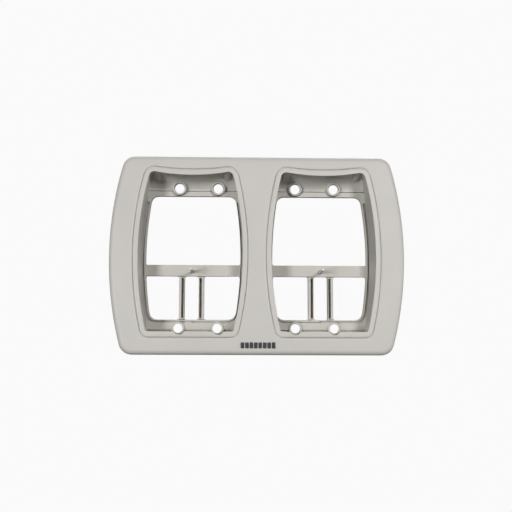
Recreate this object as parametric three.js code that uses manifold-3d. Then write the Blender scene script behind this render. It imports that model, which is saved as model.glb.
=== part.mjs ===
// Two-window wall-plate frame: the empty surround of a double wall station.
//
// A deep cover with bowed sides holds two window liners side by side. Each liner is a drafted pocket with
// a raised band round its mouth and a coved ceiling. A rear frame closes the back of each pocket: it has
// one tall opening, a crossbar with a locating pin, and a lower opening with two slotted guide rails.
// A liner goes in from the front. Its rear frame hooks on at the foot, and two screws at the top pull the
// two together, so that the cover is clamped between the liner's band and the rear frame.
//
// Millimetres. X is to the right as the frame is seen on the wall, +Z is up, and the front faces -Y.
// The origin is the centre of the box-screw pattern, on the plane of the wall (y = 0).

import * as THREE from 'three';
import { mergeVertices } from 'three/addons/utils/BufferGeometryUtils.js';
import Module from 'manifold-3d';

const wasm = await Module();
wasm.setup();

// ---------------------------------------------------------------- driving dimensions

const GAP = 0.3;                    // clearance between two pieces that touch

// Depths, measured from the wall towards the room
const FACE_Y = -25.5;               // front of the cover and of the liner bands
const FRAME_FRONT_Y = -5.5;         // front of the rear frames
const FRAME_BACK_Y = -3.0;
const BAND_BACK_Y = -24.0;          // back of the liner bands
const LEDGE_FRONT_Y = BAND_BACK_Y + GAP;
const LEDGE_BACK_Y = -22.7;         // back of the cover's front wall

// Standard box-screw pattern of ganged wall boxes
const GANG_PITCH = 46.02;           // 1.812 in from one gang to the next
const SCREW_ROWS = 83.34;           // 3.281 in between the two screws of a device

// Cover
const COVER_HALF_WIDTH = 84.8;
const COVER_TOP = 57.2;
const COVER_FOOT = -57.2;
const COVER_BOW = 200;              // radius of the bowed sides
const COVER_CORNER = 6.8;
const COVER_EDGE = 3.0;             // rounding of the front edge
const WALL = 2.5;

// Window mouth, the inner edge of the liner's band
const WINDOW_CENTRE = 38.2;
const MOUTH_HALF = 29.9;
const MOUTH_BOW = 190;
const MOUTH_TOP = 46.0;
const MOUTH_FOOT = -44.05;
const TOP_DIP = 3.8;                // how far the top edge dips from its ends to its middle

// Liner
const LINER_WALL = 1.6;
const LINER_WALL_TOP = 2.6;         // thicker over the cove, which is undercut behind the band
const GROOVE = 0.3;                 // width of the groove round the band
const BAND_SIDE = 2.95;
const BAND_TOP = 3.45;
const BAND_FOOT = 3.25;
const SKIRT_WALL = 1.8;             // the cover's skirt round the liner
const POCKET_CENTRE = 38.1;         // the pocket's back end, narrower by its draft
const POCKET_HALF = 29.2;
const POCKET_FOOT = -43.5;
const UNDERCUT = 1.4;               // the ceiling rises this much just behind the band
const COVE_TOP = 49.6;              // top of the cove's ellipse
const COVE_BACK = 40.6;             // ceiling where it meets the rear frame

// Rear frame
const FRAME_MARGIN = 5.5;           // the rear frame reaches this far past the mouth
const FRAME_TOP = 52.0;
const FRAME_FOOT = -51.2;
const OPENING_CENTRE = 37.55;
const OPENING_HALF = 28.05;
const OPENING_BOW = 215;
const UPPER_OPENING = { top: 37.3, foot: -4.2 };
const LOWER_OPENING = { top: -10.9, foot: -36.6 };

// Guide rails under the crossbar
const RAIL_CENTRE = 38.3;           // middle of the gap between the two rails
const RAIL_INSIDE = 4.2;            // from that middle to a rail's inner side
const RAIL_WIDTH = 3.15;
const RAIL_LIP = 0.4;               // thin wall between the slot and the gap
const SLOT_WIDTH = 1.4;
const SLOT_END = 0.7;               // solid left at each end of a slot
const SLOT_FLOOR = 0.7;
const RAIL_TAB_TOP = -7.4;          // the rail's back part laps behind the crossbar and the sill
const RAIL_TAB_FOOT = -37.3;

// Locating pins
const PIN = { x: 37.95, z: -8.2, radius: 0.9, headRadius: 2.0, headDepth: 1.5 };
const PIN_TIP_Y = -21.5;

// Screw sleeves and the troughs in the liner that clear the screwdriver
const FLANGE_RADIUS = { upper: 4.3, lower: 4.0 };
const FLANGE_DEPTH = { upper: 2.6, lower: 0.8 };  // the upper ones are collars that stand out of the cove
const SLEEVE_RADIUS = 3.5;          // the short barrel that sits in the rear frame
const SLEEVE_BACK_Y = -4.2;
const SLEEVE_BORE = 2.75;
const SLEEVE_RELIEF = 3.1;          // the bore widens behind the screw's seat
const SEAT_DEPTH = 0.7;
const TROUGH_RADIUS = { upper: 4.6, lower: 4.3 };
const TROUGH_WALL = 1.0;

// Assembly screws and the liner's upper corner posts
const POST_OFFSET = 20.8;           // from the window's centre line, to each side
const SCREW_Z = 48.6;
const POST_RADIUS = 2.3;
const POST_FRONT_Z = 50.3;          // the post slopes down from behind the band to the rear frame
const POST_BACK_Z = 48.0;
const SHANK_RADIUS = 1.1;
const SHANK_TIP_Y = -11.0;
const SCREW_HEAD_RADIUS = 2.4;
const SCREW_HEAD_DEPTH = 1.8;
const RECESS = { length: 3.0, width: 0.7, depth: 1.0 };

// Hooks at the liner's foot, which catch behind the rear frame
const HOOK_OFFSET = 23.0;           // from the window's centre line, to each side
const HOOK_WIDTH = 4.0;
const HOOK_TOP = -43.7;
const HOOK_FOOT = -45.0;
const HOOK_BARB = 0.9;
const HOOK_BACK_Y = -1.0;

// ---------------------------------------------------------------- solids

// A closed three.js geometry as a solid that can be joined and cut.
function solid(geometry) {
  geometry.deleteAttribute('normal');
  geometry.deleteAttribute('uv');
  const merged = mergeVertices(geometry, 1e-4);
  return new wasm.Manifold(new wasm.Mesh({
    numProp: 3,
    vertProperties: new Float32Array(merged.attributes.position.array),
    triVerts: new Uint32Array(merged.index.array),
  }));
}

// The solid as a named mesh with a material of its own.
function piece(name, body, finish) {
  const { numProp, vertProperties, triVerts } = body.getMesh();
  const geometry = new THREE.BufferGeometry();
  geometry.setAttribute('position', new THREE.BufferAttribute(vertProperties, numProp));
  geometry.setIndex(new THREE.BufferAttribute(triVerts, 1));
  const mesh = new THREE.Mesh(geometry, new THREE.MeshStandardMaterial(finish));
  mesh.name = name;
  return mesh;
}

// A box between two corners.
function block(low, high) {
  const geometry = new THREE.BoxGeometry(high[0] - low[0], high[1] - low[1], high[2] - low[2]);
  geometry.translate((low[0] + high[0]) / 2, (low[1] + high[1]) / 2, (low[2] + high[2]) / 2);
  return solid(geometry);
}

// A round rod along Y. A front radius of its own makes it taper.
function rod({ x, z, radius, front, back, sides = 16, frontRadius = radius }) {
  const geometry = new THREE.CylinderGeometry(radius, frontRadius, back - front, sides);
  geometry.translate(x, (front + back) / 2, z);
  return solid(geometry);
}

// An outline in X and Z, extruded along Y. A rounding eases the edge at both ends.
function slab(outline, front, back, rounding = 0) {
  const geometry = new THREE.ExtrudeGeometry(new THREE.Shape(outline), {
    depth: back - front - 2 * rounding,
    bevelEnabled: rounding > 0,
    bevelThickness: rounding,
    bevelSize: rounding,
    bevelOffset: -rounding,
    bevelSegments: 4,
  });
  geometry.rotateX(Math.PI / 2);
  geometry.translate(0, back - rounding, 0);
  return solid(geometry);
}

// A solid between two outlines of the same number of points, for walls with draft.
function loft(frontOutline, front, backOutline, back) {
  const count = frontOutline.length;
  const ring = (outline, y) => outline.flatMap(point => [point.x, y, point.y]);
  const index = [];
  for (const [a, b, c] of THREE.ShapeUtils.triangulateShape(frontOutline, [])) {
    index.push(a, b, c);
    index.push(a + count, c + count, b + count);
  }
  for (let i = 0; i < count; i++) {
    const next = (i + 1) % count;
    index.push(i, i + count, next + count);
    index.push(i, next + count, next);
  }
  const geometry = new THREE.BufferGeometry();
  const positions = [...ring(frontOutline, front), ...ring(backOutline, back)];
  geometry.setAttribute('position', new THREE.Float32BufferAttribute(positions, 3));
  geometry.setIndex(index);
  return solid(geometry);
}

// ---------------------------------------------------------------- outlines

// The inner points of a rounded corner that leaves p towards the sharp corner and arrives at q.
function roundCorner(p, sharp, q) {
  return new THREE.QuadraticBezierCurve(p, sharp, q).getPoints(4).slice(1, -1);
}

// A barrel: sides bowed to a radius, a level foot, and a top edge that may dip in its middle.
// Points run anticlockwise as seen from the front.
function barrel({ centre, half, bow, top, foot, dip = 0, cornerTop, cornerFoot }) {
  const SIDE_STEPS = 8;
  const TOP_STEPS = 4;
  const at = (x, z) => new THREE.Vector2(x, z);
  const widthAt = z => half - bow + Math.sqrt(bow * bow - z * z);
  const topAt = x => top + dip * (x / half) ** 2;

  const footWidth = widthAt(foot);
  const topWidth = widthAt(top + dip);
  const sideLow = foot + cornerFoot;
  const sideHigh = topAt(topWidth) - cornerTop;
  const topStart = topWidth - cornerTop;

  const right = [at(footWidth - cornerFoot, foot)];
  right.push(...roundCorner(right[0], at(footWidth, foot), at(widthAt(sideLow), sideLow)));
  for (let i = 0; i <= SIDE_STEPS; i++) {
    const z = sideLow + (sideHigh - sideLow) * i / SIDE_STEPS;
    right.push(at(widthAt(z), z));
  }
  const topCorner = at(topStart, topAt(topStart));
  right.push(...roundCorner(right.at(-1), at(topWidth, topAt(topWidth)), topCorner), topCorner);
  const left = right.map(point => at(-point.x, point.y)).reverse();

  const across = [];
  for (let i = 1; i < TOP_STEPS && dip > 0; i++) {
    const x = topStart * (1 - 2 * i / TOP_STEPS);
    across.push(at(x, topAt(x)));
  }
  return [...right, ...across, ...left].map(point => at(point.x + centre, point.y));
}

// The window mouth of one side, grown outwards.
function mouth(side, { grow = 0, growTop = grow, growFoot = grow, cornerTop, cornerFoot }) {
  return barrel({
    centre: side * WINDOW_CENTRE,
    half: MOUTH_HALF + grow,
    bow: MOUTH_BOW + grow,
    top: MOUTH_TOP + growTop,
    foot: MOUTH_FOOT - growFoot,
    dip: TOP_DIP,
    cornerTop,
    cornerFoot,
  });
}

function coverOutline(inset) {
  return barrel({
    centre: 0,
    half: COVER_HALF_WIDTH - inset,
    bow: COVER_BOW - inset,
    top: COVER_TOP - inset,
    foot: COVER_FOOT + inset,
    cornerTop: COVER_CORNER - inset,
    cornerFoot: COVER_CORNER - inset,
  });
}

function frameOpening(side, { top, foot }, cornerTop, cornerFoot) {
  return barrel({
    centre: side * OPENING_CENTRE,
    half: OPENING_HALF,
    bow: OPENING_BOW,
    top,
    foot,
    cornerTop,
    cornerFoot,
  });
}

// ---------------------------------------------------------------- places that repeat

const SIDES = [['left', -1], ['right', 1]];
const ROWS = [['upper', 1], ['lower', -1]];
const COLUMNS = [['inner', -1], ['outer', 1]];

// The four box screws of one window: the two gang lines on that side of the middle.
function sleevePlaces(side) {
  return ROWS.flatMap(([row, up]) => COLUMNS.map(([column, out]) => ({
    label: `${row}_${column}`,
    row,
    x: side * (out > 0 ? GANG_PITCH : GANG_PITCH / 2),
    z: up * SCREW_ROWS / 2,
  })));
}

// The lower two, which stand across the pocket's foot wall.
function lowerSleeves(side) {
  return sleevePlaces(side).filter(place => place.row === 'lower');
}

// The two corner posts of one window, each with its assembly screw.
function postPlaces(side) {
  return COLUMNS.map(([column, out]) => ({
    label: `upper_${column}`,
    x: side * (WINDOW_CENTRE + out * POST_OFFSET),
    z: SCREW_Z,
  }));
}

// The middles, in X, of the two hooks at the foot of one liner.
function hookPlaces(side) {
  return COLUMNS.map(([, out]) => side * (WINDOW_CENTRE + out * HOOK_OFFSET));
}

// ---------------------------------------------------------------- finishes

const COVER_PLASTIC = { color: 0xc8c5bf, roughness: 0.5, metalness: 0 };
const LINER_PLASTIC = { color: 0xcac7c1, roughness: 0.45, metalness: 0 };
const FRAME_PLASTIC = { color: 0xc4c1ba, roughness: 0.5, metalness: 0 };
const RAIL_PLASTIC = { color: 0xbcb9b2, roughness: 0.5, metalness: 0 };
const PIN_FINISH = { color: 0xcfccc6, roughness: 0.4, metalness: 0 };
const SCREW_STEEL = { color: 0x9a9a9c, roughness: 0.35, metalness: 1 };

// ---------------------------------------------------------------- pieces

// The cover: a rounded shell, open at the back, with a ledge and a skirt round each window.
function frontCover() {
  const past = 5;
  const shell = slab(coverOutline(0), FACE_Y, past, COVER_EDGE);
  const behindWall = block([-100, 0, -100], [100, 2 * past, 100]);
  const hollow = slab(coverOutline(WALL), LEDGE_BACK_Y, past);
  let cover = shell.subtract(behindWall).subtract(hollow);
  for (const [, side] of SIDES) {
    const skirt = mouth(side, {
      grow: LINER_WALL + GAP + SKIRT_WALL,
      growTop: LINER_WALL_TOP + GAP + SKIRT_WALL,
      cornerTop: 5.5,
      cornerFoot: 5.5,
    });
    cover = cover.add(slab(skirt, LEDGE_BACK_Y - 0.5, FRAME_FRONT_Y - GAP));
  }
  for (const [, side] of SIDES) {
    const aperture = mouth(side, {
      grow: BAND_SIDE + GROOVE,
      growTop: BAND_TOP + GROOVE,
      growFoot: BAND_FOOT + GROOVE,
      cornerTop: 6.0,
      cornerFoot: 4.6,
    });
    const throat = mouth(side, {
      grow: LINER_WALL + GAP, growTop: LINER_WALL_TOP + GAP, cornerTop: 3.2, cornerFoot: 2.4,
    });
    cover = cover.subtract(slab(aperture, FACE_Y - 1, LEDGE_FRONT_Y));
    cover = cover.subtract(slab(throat, FACE_Y - 1, 0));
    for (const { x, z } of lowerSleeves(side)) {
      const radius = TROUGH_RADIUS.lower + TROUGH_WALL + GAP;
      cover = cover.subtract(rod({ x, z, radius, front: LEDGE_FRONT_Y - 0.1, back: 0 }));
    }
  }
  return piece('front_cover', cover, COVER_PLASTIC);
}

// The room inside a pocket: the mouth, then a drafted hollow under a coved ceiling.
function pocketHollow(side) {
  const mouthOutline = mouth(side, { cornerTop: 2.6, cornerFoot: 1.4 });
  const straight = slab(mouthOutline, FACE_Y - 1, BAND_BACK_Y + 0.2);

  const tall = { dip: TOP_DIP, top: MOUTH_TOP + UNDERCUT, cornerTop: 2.6, cornerFoot: 1.4 };
  const near = barrel({
    ...tall, centre: side * WINDOW_CENTRE, half: MOUTH_HALF, bow: MOUTH_BOW, foot: MOUTH_FOOT,
  });
  const far = barrel({
    ...tall, centre: side * POCKET_CENTRE, half: POCKET_HALF, bow: MOUTH_BOW, foot: POCKET_FOOT,
  });
  const drafted = loft(near, BAND_BACK_Y, far, FRAME_FRONT_Y + 1);

  // Section of the room under the cove, in Y and Z: a quarter ellipse from the band to the frame
  const COVE_STEPS = 8;
  const depth = FRAME_FRONT_Y - BAND_BACK_Y;
  const rise = COVE_TOP - COVE_BACK;
  const section = [
    new THREE.Vector2(BAND_BACK_Y - 1, COVE_TOP + 0.5),
    new THREE.Vector2(BAND_BACK_Y - 1, -60),
    new THREE.Vector2(FRAME_FRONT_Y + 2, -60),
    new THREE.Vector2(FRAME_FRONT_Y + 2, COVE_BACK),
  ];
  for (let i = 0; i <= COVE_STEPS; i++) {
    const angle = Math.PI / 2 * i / COVE_STEPS;
    const y = BAND_BACK_Y + depth * Math.cos(angle);
    section.push(new THREE.Vector2(y, COVE_BACK + rise * Math.sin(angle)));
  }
  const geometry = new THREE.ExtrudeGeometry(new THREE.Shape(section), { depth: 80, bevelEnabled: false });
  const along = new THREE.Vector3(1, 0, 0);
  const turn = new THREE.Matrix4().makeBasis(new THREE.Vector3(0, 1, 0), new THREE.Vector3(0, 0, 1), along);
  geometry.applyMatrix4(turn);
  geometry.translate(side * WINDOW_CENTRE - 40, 0, 0);
  return straight.add(drafted.intersect(solid(geometry)));
}

// A round corner post, sloping down from behind the band to the rear frame.
function cornerPost(x, back) {
  const SIDES_OF_POST = 16;
  const circle = z => Array.from({ length: SIDES_OF_POST }, (_, i) => {
    const turn = 2 * Math.PI * i / SIDES_OF_POST;
    return new THREE.Vector2(x + POST_RADIUS * Math.cos(turn), z + POST_RADIUS * Math.sin(turn));
  });
  return loft(circle(POST_FRONT_Z), BAND_BACK_Y - 0.5, circle(POST_BACK_Z), back);
}

// The liner: band, pocket walls, cove, screw troughs and corner posts.
function windowLiner(label, side) {
  const back = FRAME_FRONT_Y - GAP;
  const band = mouth(side, {
    grow: BAND_SIDE, growTop: BAND_TOP, growFoot: BAND_FOOT, cornerTop: 5.5, cornerFoot: 4.1,
  });
  const wall = mouth(side, {
    grow: LINER_WALL, growTop: LINER_WALL_TOP, cornerTop: 3.0, cornerFoot: 2.2,
  });
  const body = slab(wall, BAND_BACK_Y - 0.5, back);
  let liner = slab(band, FACE_Y, BAND_BACK_Y).add(body);
  for (const { x, z } of lowerSleeves(side)) {
    const radius = TROUGH_RADIUS.lower + TROUGH_WALL;
    liner = liner.add(rod({ x, z, radius, front: BAND_BACK_Y - 0.5, back }));
  }
  liner = liner.subtract(pocketHollow(side));
  for (const { x, z } of postPlaces(side)) {
    liner = liner.add(cornerPost(x, back).intersect(body));
    liner = liner.subtract(rod({ x, z, radius: SHANK_RADIUS + GAP, front: SHANK_TIP_Y - 1, back: 0 }));
  }
  for (const middle of hookPlaces(side)) {
    const [near, far] = [middle - HOOK_WIDTH / 2, middle + HOOK_WIDTH / 2];
    const catchFront = FRAME_BACK_Y + GAP;
    liner = liner.add(block([near, back - 1, HOOK_FOOT], [far, HOOK_BACK_Y, HOOK_TOP]));
    liner = liner.add(block([near, catchFront, HOOK_FOOT - HOOK_BARB], [far, HOOK_BACK_Y, HOOK_FOOT + 0.1]));
  }
  for (const { row, x, z } of sleevePlaces(side)) {
    const front = row === 'lower' ? FACE_Y - 1 : BAND_BACK_Y;
    liner = liner.subtract(rod({ x, z, radius: TROUGH_RADIUS[row], front, back: 0, sides: 24 }));
  }
  return piece(`${label}_window_liner`, liner, LINER_PLASTIC);
}

// The rear frame: a plate with two openings, a crossbar between them, and its screw holes.
function rearFrame(label, side) {
  const outline = barrel({
    centre: side * WINDOW_CENTRE,
    half: MOUTH_HALF + FRAME_MARGIN,
    bow: MOUTH_BOW + FRAME_MARGIN,
    top: FRAME_TOP,
    foot: FRAME_FOOT,
    cornerTop: 6,
    cornerFoot: 6,
  });
  let frame = slab(outline, FRAME_FRONT_Y, FRAME_BACK_Y);
  const through = { front: FRAME_FRONT_Y - 1, back: FRAME_BACK_Y + 1 };
  const upper = frameOpening(side, UPPER_OPENING, 4.2, 1.2);
  const lower = frameOpening(side, LOWER_OPENING, 1.6, 4.6);
  frame = frame.subtract(slab(upper, through.front, through.back));
  frame = frame.subtract(slab(lower, through.front, through.back));
  for (const { x, z } of sleevePlaces(side)) {
    frame = frame.subtract(rod({ x, z, radius: SLEEVE_RADIUS + GAP, ...through, sides: 24 }));
  }
  for (const { x, z } of postPlaces(side)) {
    frame = frame.subtract(rod({ x, z, radius: SHANK_RADIUS + GAP, ...through }));
  }
  for (const middle of hookPlaces(side)) {
    const reach = HOOK_WIDTH / 2 + GAP;
    const low = [middle - reach, through.front, HOOK_FOOT - HOOK_BARB - GAP];
    const high = [middle + reach, through.back, HOOK_TOP + GAP];
    frame = frame.subtract(block(low, high));
  }
  frame = frame.subtract(rod({ x: side * PIN.x, z: PIN.z, radius: PIN.radius + GAP, ...through }));
  return piece(`${label}_rear_frame`, frame, FRAME_PLASTIC);
}

// One guide rail: a channel with a narrow slot, lapped behind the crossbar and the sill.
function guideRail(label, side, column, out) {
  const place = distance => side * (RAIL_CENTRE + out * distance);
  const spanX = (from, to) => [Math.min(place(from), place(to)), Math.max(place(from), place(to))];
  const [left, right] = spanX(RAIL_INSIDE, RAIL_INSIDE + RAIL_WIDTH);
  const top = LOWER_OPENING.top - GAP;
  const foot = LOWER_OPENING.foot + GAP;
  const lapY = FRAME_BACK_Y + GAP;
  const bar = block([left, FRAME_FRONT_Y, foot], [right, lapY + 0.1, top]);
  const lap = block([left, lapY, RAIL_TAB_FOOT], [right, 0, RAIL_TAB_TOP]);

  const [slotLeft, slotRight] = spanX(RAIL_INSIDE + RAIL_LIP, RAIL_INSIDE + RAIL_LIP + SLOT_WIDTH);
  const slotLow = [slotLeft, FRAME_FRONT_Y - 1, foot + SLOT_END];
  const slotHigh = [slotRight, -SLOT_FLOOR, top - SLOT_END];
  const rail = bar.add(lap).subtract(block(slotLow, slotHigh));
  return piece(`${label}_${column}_guide_rail`, rail, RAIL_PLASTIC);
}

// The pin: pushed through the crossbar from behind, with a flat head against its back.
function locatingPin(label, side) {
  const place = { x: side * PIN.x, z: PIN.z };
  const headFront = FRAME_BACK_Y + GAP;
  const shaftFront = PIN_TIP_Y + 0.4;
  const shaft = rod({ ...place, radius: PIN.radius, front: shaftFront, back: headFront + 0.2 });
  const tip = rod({
    ...place, radius: PIN.radius, frontRadius: PIN.radius - 0.3, front: PIN_TIP_Y, back: shaftFront,
  });
  const head = rod({ ...place, radius: PIN.headRadius, front: headFront, back: headFront + PIN.headDepth });
  return piece(`${label}_locating_pin`, shaft.add(tip).add(head), PIN_FINISH);
}

// A flanged sleeve takes the box screw's head: the flange bears on the frame, the barrel sits in its hole.
function screwSleeve(label, { label: place, row, x, z }) {
  const round = { x, z, sides: 24 };
  const flangeBack = FRAME_FRONT_Y - GAP;
  const flangeFront = flangeBack - FLANGE_DEPTH[row];
  const flange = rod({ ...round, radius: FLANGE_RADIUS[row], front: flangeFront, back: flangeBack });
  const barrelWall = rod({ ...round, radius: SLEEVE_RADIUS, front: flangeBack - 0.2, back: SLEEVE_BACK_Y });
  const bore = rod({ ...round, radius: SLEEVE_BORE, front: flangeFront - 1, back: 0 });
  const relief = rod({ ...round, radius: SLEEVE_RELIEF, front: flangeFront + SEAT_DEPTH, back: 0 });
  const sleeve = flange.add(barrelWall).subtract(bore).subtract(relief);
  return piece(`${label}_${place}_screw_sleeve`, sleeve, FRAME_PLASTIC);
}

// An assembly screw, driven from behind through the rear frame into a corner post.
function assemblyScrew(label, { label: place, x, z }) {
  const headFront = FRAME_BACK_Y + GAP;
  const headBack = headFront + SCREW_HEAD_DEPTH;
  const taperBack = SHANK_TIP_Y + 2;
  const head = rod({ x, z, radius: SCREW_HEAD_RADIUS, front: headFront, back: headBack });
  const shank = rod({ x, z, radius: SHANK_RADIUS, front: taperBack, back: headFront + 0.2, sides: 12 });
  const taper = { x, z, radius: SHANK_RADIUS, frontRadius: 0.5, sides: 12 };
  const point = rod({ ...taper, front: SHANK_TIP_Y, back: taperBack });
  let screw = head.add(shank).add(point);
  for (const [halfX, halfZ] of [[RECESS.length, RECESS.width], [RECESS.width, RECESS.length]]) {
    const low = [x - halfX / 2, headBack - RECESS.depth, z - halfZ / 2];
    const high = [x + halfX / 2, headBack + 1, z + halfZ / 2];
    screw = screw.subtract(block(low, high));
  }
  return piece(`${label}_${place}_assembly_screw`, screw, SCREW_STEEL);
}

// ---------------------------------------------------------------- assembly

const group = new THREE.Group();
group.add(frontCover());
for (const [label, side] of SIDES) {
  group.add(windowLiner(label, side));
  group.add(rearFrame(label, side));
  for (const [column, out] of COLUMNS) {
    group.add(guideRail(label, side, column, out));
  }
  group.add(locatingPin(label, side));
  for (const place of sleevePlaces(side)) {
    group.add(screwSleeve(label, place));
  }
  for (const place of postPlaces(side)) {
    group.add(assemblyScrew(label, place));
  }
}

export default group;
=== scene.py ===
"""Two-window wall-plate frame: the fine surfaces, finishes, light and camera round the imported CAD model.

Lengths are in millimetres, and mm() or MM turns them into metres where a mesh is made. Only the grain, the
floor and the lamps are given in metres. +X is to the right, +Z is up and the front faces -Y. The origin is
the centre of the box-screw pattern, on the plane of the wall. The right-hand liner and rear frame are built,
and the left-hand ones are their mirror images. The small parts that a rear frame carries are placed by the
boxes of their CAD nodes.
"""

import math

import bmesh
import bpy
import numpy as np
from mathutils import Matrix, Vector


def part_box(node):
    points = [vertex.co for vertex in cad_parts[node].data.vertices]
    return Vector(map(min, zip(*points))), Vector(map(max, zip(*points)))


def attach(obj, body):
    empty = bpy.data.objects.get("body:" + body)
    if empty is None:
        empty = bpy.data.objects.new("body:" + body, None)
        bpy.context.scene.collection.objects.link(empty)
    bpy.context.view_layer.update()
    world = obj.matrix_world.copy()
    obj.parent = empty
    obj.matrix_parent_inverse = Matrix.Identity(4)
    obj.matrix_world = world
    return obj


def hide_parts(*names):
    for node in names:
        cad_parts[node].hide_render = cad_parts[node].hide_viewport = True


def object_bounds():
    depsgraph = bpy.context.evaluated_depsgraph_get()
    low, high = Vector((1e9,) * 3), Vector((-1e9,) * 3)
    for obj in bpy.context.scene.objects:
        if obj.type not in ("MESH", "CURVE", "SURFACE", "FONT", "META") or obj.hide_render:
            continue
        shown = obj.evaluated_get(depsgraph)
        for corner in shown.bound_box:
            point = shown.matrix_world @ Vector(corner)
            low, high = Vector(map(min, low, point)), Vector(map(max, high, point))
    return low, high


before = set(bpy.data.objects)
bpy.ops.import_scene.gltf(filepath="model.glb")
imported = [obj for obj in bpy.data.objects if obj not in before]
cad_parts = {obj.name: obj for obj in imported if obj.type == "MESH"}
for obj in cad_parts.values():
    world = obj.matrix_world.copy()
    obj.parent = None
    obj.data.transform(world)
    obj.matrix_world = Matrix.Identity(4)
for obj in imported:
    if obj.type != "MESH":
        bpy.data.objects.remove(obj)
cad_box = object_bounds()

MM = 0.001


def mm(*values):
    """A point given in millimetres, in metres."""
    return Vector(values) * MM


# ---------------------------------------------------------------- sizes, in millimetres

GAP = 0.3                               # between pieces that touch
FACE_Y = cad_box[0][1] / MM + 0.05      # the visible face lies just behind the CAD's foremost plane
CROWN = 0.35                            # how far the face falls back towards its edges
CROWN_TO_SIDE = 0.6                     # the share of the crown at the middle of a side edge
CROWN_TO_TOP = 1.6                      # and at the middle of the top and foot edges
FRAME_FRONT_Y = -5.5
FRAME_BACK_Y = -3.0
BAND_BACK_Y = -24.0
LEDGE_FRONT_Y = BAND_BACK_Y + GAP
LEDGE_BACK_Y = -22.7

GANG_PITCH = 46.02
SCREW_ROWS = 83.34

COVER_HALF_WIDTH = 84.8
COVER_TOP = 57.2
COVER_FOOT = -57.2
COVER_BOW = 200
COVER_CORNER = 6.8
COVER_EDGE = 3.0                        # rounding of the cover's front edge
WALL_INSET = 0.01                       # keeps the outer wall a hair inside the CAD's
WALL = 2.5
SOFT_EDGE = 0.3                         # on the cover's rear rim and the end of the skirt
LEDGE_EDGE = 0.2                        # on the ledge that carries a liner's band
SKIRT_FILLET = 0.8                      # where the skirt meets the back of the face
WALL_FILLET = 0.6                       # where the outer wall does

WINDOW_CENTRE = 38.2
MOUTH_HALF = 29.9
MOUTH_BOW = 190
MOUTH_TOP = 46.0
MOUTH_FOOT = -44.05
TOP_DIP = 3.8
MOUTH_CORNERS = {"corner_top": 2.6, "corner_foot": 1.4}

LINER_WALL = 1.6
LINER_WALL_TOP = 2.6
LINER_CORNERS = {"corner_top": 3.0, "corner_foot": 2.2}
THROAT_CORNERS = {"corner_top": 3.2, "corner_foot": 2.4}
SKIRT_CORNERS = {"corner_top": 5.5, "corner_foot": 5.5}
GROOVE = 0.12                           # the joint at the bottom of the groove round the band
GROOVE_EDGE = 1.3                       # rounding on both sides of the groove
GROOVE_DEPTH = 0.65
LIP_EDGE = 0.33                         # rounding of the mouth's edge
BAND_SIDE = 3.0
BAND_TOP = 3.5
BAND_FOOT = 3.3
BAND_CORNERS = {"corner_top": 5.5, "corner_foot": 4.1}
APERTURE_CORNERS = {"corner_top": 6.0, "corner_foot": 4.6}
SKIRT_WALL = 1.8
POCKET_CENTRE = 38.1
POCKET_HALF = 29.2
POCKET_BOW = 310                        # the pocket widens behind the mouth towards its corners
POCKET_FOOT = -43.5
UNDERCUT = 1.4                          # how far the pocket rises behind the mouth's top edge
COVE_TOP = 49.6
COVE_BACK = 40.6
CORNER_RISE = 3.0                       # the ceiling rises with the mouth's top edge towards the corners
COVE_BLEND = 1.6                        # rounding where the ceiling meets the side walls

FRAME_MARGIN = 5.5
FRAME_TOP = 52.0
FRAME_FOOT = -51.2
FRAME_CORNER = 6
FRAME_EDGE = 0.25
OPENING_CENTRE = 37.55
OPENING_HALF = 28.05
OPENING_BOW = 215
OPENING_GROOVES = {                     # the groove beside the openings: its distance from them, its width
    "inner": (0.5, 0.65),
    "outer": (1.7, 1.4),
}
FOOT_GROOVE = 1.35                      # its distance from the foot of the lower opening
OPENING_GROOVE_DEPTH = 2.2
OPENING_GROOVE_CORNER = 5.4
OPENING_GROOVE_END = 2                  # the groove ends this far below the top of the upper opening
LEVEL_GROOVES = (                       # height, half length and width of the crease and the floor line
    (COVE_BACK - 0.15, 27.2, 0.4),
    (POCKET_FOOT + 0.5, 26.8, 0.9),
)
LEVEL_GROOVE_DEPTH = 1.8
UPPER_OPENING = {"top": 37.3, "foot": -4.2, "corner_top": 4.2, "corner_foot": 1.2}
LOWER_OPENING = {"top": -10.9, "foot": -36.6, "corner_top": 1.6, "corner_foot": 4.6}

RAIL_LIP = 0.4                          # between the slot and the side that faces the gap between the rails
RAIL_FILLET = 1.1
RAIL_EDGE = 0.15
RAIL_OVERLAP = 0.2                      # how far the bar reaches into the lap it is joined to
SLOT_WIDTH = 1.4
SLOT_END = 0.7
SLOT_FLOOR = 0.7
SLOT_EDGE = 0.2

FLANGE_RADIUS = {"upper": 4.1, "lower": 4.0}
TROUGH_RADIUS = {"upper": 4.15, "lower": 4.1}
TROUGH_NARROWS = 0.95                   # a lower trough is this much narrower at the face
TROUGH_LEAN = {"inner": 1.1, "outer": 2.0}  # the lower troughs lean towards the cover's middle line
TROUGH_DROP = 1.05                      # and down, so that a driver can come in from a little below
BORE_RADIUS = {"upper": 2.86, "lower": 2.75}
THROAT_DEPTH = {"upper": 1.6, "lower": 0.3}  # from the sleeve's front to the narrowest part of its bore
LEAD_IN = {"upper": 0.4, "lower": 0.1}  # how much wider the bore is at its front
RELIEF_RADIUS = {"upper": 3.7, "lower": 3.2}
BARREL_RADIUS = {"upper": 3.95, "lower": 3.5}
SEAT_DEPTH = {"upper": 1.9, "lower": 0.7}
TROUGH_WALL = 1.0
TROUGH_END_Y = 0.5                      # cutters run on to here, past the back of the liner
BORE_CLEARANCE = 0.1                    # round a sleeve's barrel, in the rear frame

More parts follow.
